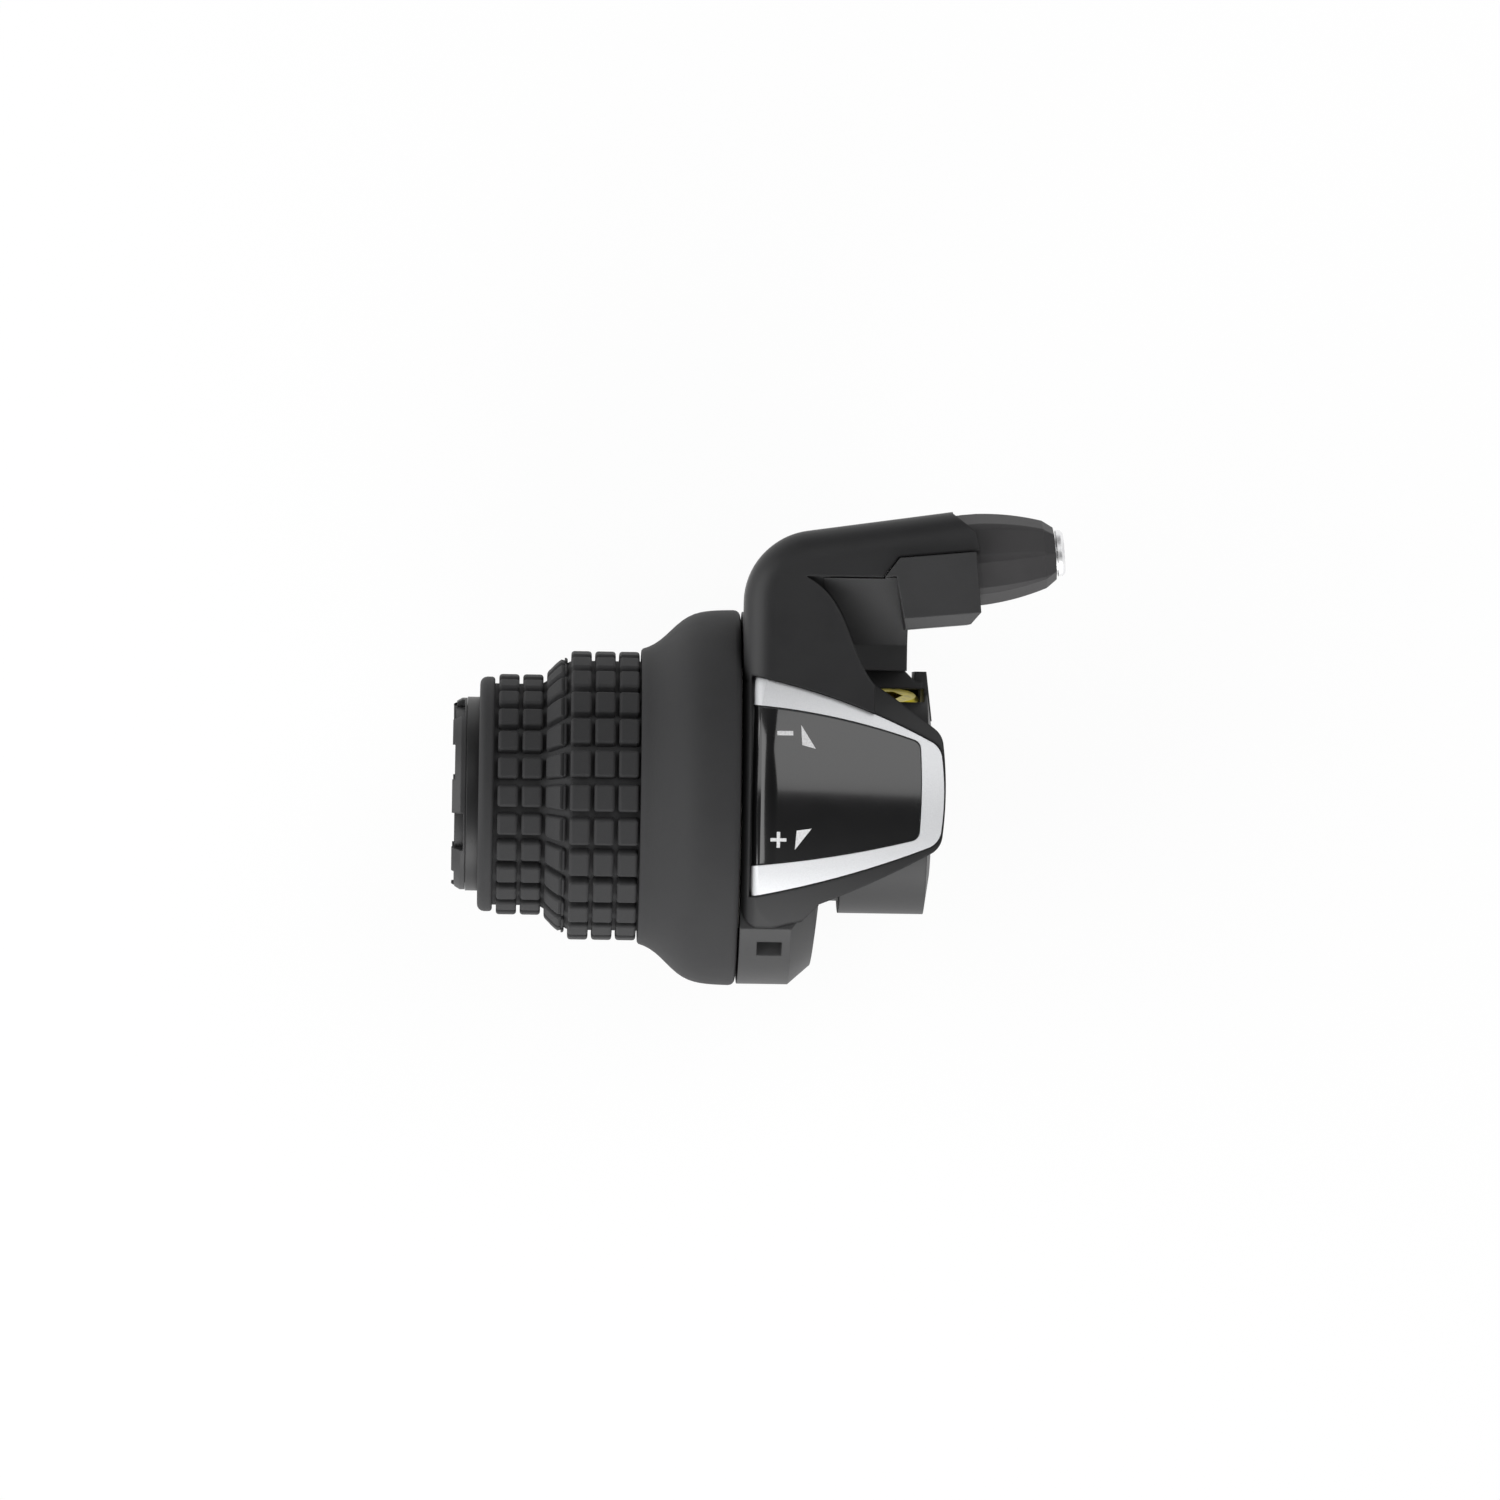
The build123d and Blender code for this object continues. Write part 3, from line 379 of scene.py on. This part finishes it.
def turned(profile, steps):
    """Closed ring turned about the bar's axis from the (x, radius) corners of its section."""
    mesh = bmesh.new()
    ring = [mesh.verts.new((x, 0, radius)) for x, radius in profile]
    wire = [mesh.edges.new(pair) for pair in zip(ring, ring[1:] + ring[:1])]
    bmesh.ops.spin(
        mesh, geom=ring + wire, cent=(0, 0, 0), axis=(1, 0, 0), angle=2 * math.pi,
        steps=steps, use_merge=True,
    )
    bmesh.ops.remove_doubles(mesh, verts=mesh.verts, dist=merge_distance)
    bmesh.ops.recalc_face_normals(mesh, faces=mesh.faces)
    return mesh


def drawn_out(mesh, faces):
    """Extrudes faces and gives the vertices of their new side, which still lie on the old ones."""
    made = bmesh.ops.extrude_face_region(mesh, geom=faces)["geom"]
    return [element for element in made if isinstance(element, bmesh.types.BMVert)]


def combined(first, second, operation):
    """One closed skin from two meshes that overlap, joined or cut."""
    pieces = [as_object(mesh, "joining") for mesh in (first, second)]
    join = pieces[0].modifiers.new("join", "BOOLEAN")
    join.operation = operation
    join.solver = "MANIFOLD"
    join.object = pieces[1]
    skin = bmesh.new()
    skin.from_object(pieces[0], bpy.context.evaluated_depsgraph_get())
    for piece in pieces:
        bpy.data.objects.remove(piece)
    return skin


def soften(mesh, crisp_angle):
    """Smooth shading, apart from the edges that turn by more than an angle."""
    for face in mesh.faces:
        face.smooth = True
    for edge in mesh.edges:
        edge.smooth = edge.calc_face_angle(0.0) < math.radians(crisp_angle)


def smooth_step(share):
    """Share eased at both ends."""
    share = min(max(share, 0.0), 1.0)
    return share * share * (3 - 2 * share)


def ramp_height(along):
    """Radius on the ramp between the narrow and the wide half, by distance from the outboard end."""
    rise = smooth_step((along - ramp_start) / ramp_length)
    return small_radius + (large_radius - small_radius) * rise


def block_height(column, along):
    """Radius of a column's block tops: level on both halves, and curved on the ramp."""
    if column == ramp_column:
        share = (along - block_start) / block_pitch - column
        return small_radius + ramp_block_rise * math.sin(share * math.pi / 2)
    return small_radius if column < ramp_column else large_radius


def flange_height(along):
    """Radius of the coved flange at a distance from its start."""
    rise = 1 / (1 + math.exp(-(along - flange_bend) / flange_spread))
    low = 1 / (1 + math.exp(flange_bend / flange_spread))
    return flange_start_radius + (flange_radius - flange_start_radius) * (rise - low) / (1 - low)


def grip_profile():
    """Section of the grip without its blocks, as (distance, radius) corners round the wall."""
    length = grip_inner - grip_outer
    blocks_end = block_start + block_columns * block_pitch
    quarter = [math.radians(90 * step / corner_steps) for step in range(corner_steps + 1)]
    outside = [(0, grip_bore), (0, bead_radius - bead_edge)]
    for turn in quarter[1:]:
        outside.append((
            bead_edge * (1 - math.cos(turn)), bead_radius - bead_edge + bead_edge * math.sin(turn),
        ))
    for turn in quarter:
        outside.append((
            bead_length - bead_back_edge * (1 - math.sin(turn)),
            bead_radius - bead_back_edge * (1 - math.cos(turn)),
        ))
    outside.append((bead_length, small_radius - block_depth))
    for step in range(ramp_steps + 1):
        along = ramp_start + ramp_length * step / ramp_steps
        outside.append((along, ramp_height(along) - block_depth))
    outside.append((blocks_end, large_radius - block_depth))
    outside.append((blocks_end, flange_start_radius - flange_lip))
    cove_length = length - blocks_end - flange_edge - flange_lip
    for step in range(cove_steps + 1):
        along = flange_lip + cove_length * step / cove_steps
        outside.append((blocks_end + along, flange_height(along)))
    rim = outside[-1][1]
    for turn in quarter[1:]:
        outside.append((
            length - flange_edge * (1 - math.sin(turn)), rim - flange_edge * (1 - math.cos(turn)),
        ))
    room = length - flange_room_depth
    inside = [
        (length, flange_room_radius), (room, flange_room_radius), (room, grip_wide_bore),
        (ramp_start + ramp_length, grip_wide_bore), (ramp_start, grip_bore),
    ]
    return outside + inside


def rubber_block(column):
    """One block of a column, standing at the top of the grip, with eased edges."""
    mesh = bmesh.new()
    bmesh.ops.create_cube(mesh, size=1.0)
    left = block_start + column * block_pitch + column_groove / 2
    length = block_pitch - column_groove
    lengthwise = [e for e in mesh.edges if abs(e.verts[0].co.x - e.verts[1].co.x) > 0.5]
    bmesh.ops.subdivide_edges(mesh, edges=lengthwise, cuts=block_cuts, use_grid_fill=True)
    half_pitch = math.tan(math.pi / block_rows)
    top = {vert for vert in mesh.verts if vert.co.z > 0}
    for vert in mesh.verts:
        along = left + length * (vert.co.x + 0.5)
        height = block_height(column, along)
        radius = height if vert in top else ramp_height(along) - block_depth - block_sink
        side = math.copysign(height * half_pitch - row_groove / 2, vert.co.y)
        vert.co = (grip_outer + along, side, radius)
    crisp = math.radians(block_crisp_angle)
    corners = [
        edge for edge in mesh.edges
        if edge.calc_face_angle(0.0) > crisp and not top.isdisjoint(edge.verts)
    ]
    bmesh.ops.bevel(
        mesh, geom=corners, offset=block_edge, segments=block_edge_steps, profile=0.5,
        affect="EDGES", material=-1, clamp_overlap=True,
    )
    data = bpy.data.meshes.new("rubber_block")
    mesh.to_mesh(data)
    mesh.free()
    return data


def rubber_grip(finish):
    """Rubber grip with a bead, six columns of soft blocks and a coved flange."""
    profile = [(grip_outer + along, radius) for along, radius in grip_profile()]
    body = turned(profile, row_steps * block_rows)
    blocks = bmesh.new()
    for column in range(block_columns):
        block = rubber_block(column)
        for row in range(block_rows):
            turn = Matrix.Rotation(2 * math.pi * (row + block_phase) / block_rows, 4, "X")
            before = len(blocks.verts)
            blocks.from_mesh(block)
            blocks.verts.ensure_lookup_table()
            bmesh.ops.transform(blocks, matrix=turn, verts=blocks.verts[before:])
    mesh = combined(body, blocks, "UNION")
    soften(mesh, grip_crisp_angle)
    piece = place(mesh, "soft_rubber_grip", finish["grip_rubber"], "twist_grip", "grip_rubber")
    flatten = piece.modifiers.new("flat_tops", "WEIGHTED_NORMAL")
    flatten.keep_sharp = True
    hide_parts("rubber_grip")


def ring_sector(mesh, middle, width, right):
    """Adds a cutter for the ring's outer end to a mesh: a sector wider than the wall, up to an x."""
    left = ring_end - cutter_reach
    angles = [
        math.radians(middle + width * (step / sector_steps - 0.5)) for step in range(sector_steps + 1)
    ]
    rim = [(ring_radius + cutter_reach, a) for a in angles]
    rim += [(ring_bore - cutter_reach, a) for a in reversed(angles)]
    face = mesh.faces.new([mesh.verts.new((left, r * math.cos(a), r * math.sin(a))) for r, a in rim])
    bmesh.ops.translate(mesh, vec=(right - left, 0, 0), verts=drawn_out(mesh, [face]))


def retaining_ring(finish):
    """Castellated ring that keeps the grip on the sleeve, its outer edge chamfered."""
    body = turned([
        (ring_end, ring_bore), (ring_end, ring_radius - ring_chamfer_height),
        (ring_end + ring_chamfer_length, ring_radius), (ring_right, ring_radius),
        (ring_right, ring_bore),
    ], ring_steps)
    cutters = bmesh.new()
    for count in range(ring_count):
        turn = 360 * count / ring_count
        ring_sector(cutters, ring_notch_middle + turn, ring_notch_angle, ring_right - ring_web)
        ring_sector(cutters, ring_low_middle + turn, ring_low_angle, ring_end + ring_step)
    ring_sector(cutters, ring_front_middle, ring_front_angle, ring_end + ring_lug_step)
    ring_sector(cutters, ring_rear_middle, ring_rear_angle, ring_end + ring_lug_step)
    bmesh.ops.recalc_face_normals(cutters, faces=cutters.faces)
    mesh = combined(body, cutters, "DIFFERENCE")
    soften(mesh, ring_crisp_angle)
    piece = place(mesh, "castellated_ring", finish["base_plastic"], "housing", "base_plastic")
    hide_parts("end_ring")


def dress_nodes(finish):
    """Gives every solid of the part the finish of its slot."""
    for row in frame["record"]["subparts"]:
        materials = nodes[row["node"]].data.materials
        materials.clear()
        materials.append(finish[row["material_slot"]])


def mark(outline, name, finish):
    """Printed mark on the panel: a thin film from its outline in plan, laid on the barrel."""
    mesh = bmesh.new()
    face = mesh.faces.new([mesh.verts.new((x, y, 0)) for x, y in outline])
    bmesh.ops.triangulate(mesh, faces=[face])
    bmesh.ops.subdivide_edges(mesh, edges=mesh.edges, cuts=mark_cuts, use_grid_fill=True)
    upper = set(drawn_out(mesh, mesh.faces[:]))
    dip = math.radians(hood_dip)
    pivot = hood_top - hood_radius / math.cos(dip)
    for vert in mesh.verts:
        x, y = vert.co.x, vert.co.y
        rise = math.sqrt((hood_radius + panel_rise) ** 2 - y ** 2) / math.cos(dip)
        lift = ink_thickness if vert in upper else -ink_thickness
        vert.co.z = pivot + rise - (x - hood_left) * math.tan(dip) + lift
    bmesh.ops.recalc_face_normals(mesh, faces=mesh.faces)
    place(mesh, name, finish["ink"], "housing", "panel_gloss")


def bar(centre, length, width):
    """Outline of a straight stroke, with its length along X and its width along Y."""
    x, y = centre
    return [
        (x - length / 2, y - width / 2), (x + length / 2, y - width / 2),
        (x + length / 2, y + width / 2), (x - length / 2, y + width / 2),
    ]


def panel_marks(finish):
    """Minus and plus signs with their wedges, which show which way to turn the grip."""
    mark(bar(minus_centre, sign_length, minus_width), "mark_minus", finish)
    mark(bar(plus_centre, sign_length, plus_width), "mark_plus_across", finish)
    mark(bar(plus_centre, plus_width, sign_length), "mark_plus_upright", finish)
    mark(wedge_by_minus, "mark_wedge_down", finish)
    mark(wedge_by_plus, "mark_wedge_up", finish)


def corner_web(finish):
    """Web that closes the corner between arm and neck, flush with the neck's slope."""
    mesh = bmesh.new()
    face = mesh.faces.new([mesh.verts.new((x, y, y - web_drop)) for x, y in web_outline])
    bmesh.ops.translate(mesh, vec=(0, 0, -web_depth), verts=drawn_out(mesh, [face]))
    bmesh.ops.recalc_face_normals(mesh, faces=mesh.faces)
    place(mesh, "neck_corner_web", finish["base_plastic"], "housing", "base_plastic")


def sweep():
    """White floor that keeps a faint shadow, and is clear from below."""
    mesh = bmesh.new()
    bmesh.ops.create_grid(mesh, x_segments=1, y_segments=1, size=floor_size * MM / 2)
    bmesh.ops.translate(mesh, vec=(0, 0, cad_box[0].z - floor_gap * MM), verts=mesh.verts)
    floor = as_object(mesh, "floor")
    material, tree, shader = start(
        "white_paper_sweep", Roughness=0.9, Base_Color=linear("#fafafa")
    )
    glow = add(tree, "Emission", {"Color": (1, 1, 1, 1), "Strength": 1.0})
    path = add(tree, "LightPath")
    seen = add(tree, "Math", {"operation": "MAXIMUM"}, {
        0: path.outputs["Is Camera Ray"], 1: path.outputs["Is Glossy Ray"],
    })
    share = add(tree, "Math", {"operation": "MULTIPLY", 1: floor_glow}, {0: seen.outputs[0]})
    above = add(tree, "MixShader", links={
        0: share.outputs[0], 1: shader.outputs["BSDF"], 2: glow.outputs["Emission"],
    })
    both = add(tree, "MixShader", links={
        0: add(tree, "NewGeometry").outputs["Backfacing"], 1: above.outputs["Shader"],
        2: add(tree, "BsdfTransparent").outputs["BSDF"],
    })
    tree.links.new(both.outputs["Shader"], tree.nodes["Material Output"].inputs["Surface"])
    floor.data.materials.append(material)


def tent():
    """World that lights the part like a tent: pale walls, dimmer at the far side, and a dark roof."""
    world = bpy.data.worlds.new("studio")
    bpy.context.scene.world = world
    world.use_nodes = True
    tree = world.node_tree
    back = tree.nodes["Background"]
    back.inputs["Color"].default_value = (1, 1, 1, 1)
    way = add(tree, "SeparateXYZ", links={0: add(tree, "TexCoord").outputs["Generated"]})
    walls = add(tree, "MapRange", {"To Min": wall_level, "To Max": roof_level}, {
        "Value": way.outputs["Z"],
    })
    share = add(tree, "MapRange", {
        "From Min": far_wall_start, "From Max": far_wall_end, "To Min": 1.0, "To Max": far_wall_share,
    }, {"Value": way.outputs["Y"]})
    cloth = add(tree, "Math", {"operation": "MULTIPLY"}, {
        0: walls.outputs["Result"], 1: share.outputs["Result"],
    })
    level = add(tree, "MapRange", {"To Max": 1.0}, {
        "Value": add(tree, "LightPath").outputs["Is Camera Ray"], "To Min": cloth.outputs[0],
    })
    tree.links.new(level.outputs["Result"], back.inputs["Strength"])


def lamp(name, at, size, power):
    """Soft oblong lamp that faces the part."""
    light = bpy.data.lights.new(name, "AREA")
    light.shape = "RECTANGLE"
    light.size, light.size_y = (side * MM for side in size)
    light.energy = power
    lamp_object = bpy.data.objects.new(name, light)
    lamp_object.location = Vector(at) * MM
    aim = Vector((view_centre[0] * MM, 0, 0)) - lamp_object.location
    lamp_object.rotation_euler = aim.to_track_quat("-Z", "Y").to_euler()
    bpy.context.scene.collection.objects.link(lamp_object)


def studio():
    """White floor, a tent of pale walls and three soft lamps."""
    sweep()
    tent()
    for row in lamps:
        lamp(*row)


def camera():
    """Camera of the photograph."""
    data = bpy.data.cameras.new("camera")
    data.sensor_width = sensor_width
    data.lens = sensor_width * view_distance / view_width
    data.clip_end = view_reach * MM
    eye = bpy.data.objects.new("camera", data)
    lean, roll = math.radians(view_lean), math.radians(view_roll)
    back = Vector((-math.sin(lean), 0, math.cos(lean)))
    turn = Matrix.Rotation(-lean, 4, "Y") @ Matrix.Rotation(roll, 4, "Z")
    eye.matrix_world = Matrix.Translation(
        (Vector((*view_centre, 0)) + back * view_distance) * MM
    ) @ turn
    bpy.context.scene.collection.objects.link(eye)
    bpy.context.scene.camera = eye


finish = finishes()
dress_nodes(finish)
rubber_grip(finish)
retaining_ring(finish)
panel_marks(finish)
corner_web(finish)
studio()
camera()
bpy.context.scene.view_settings.view_transform = "Standard"
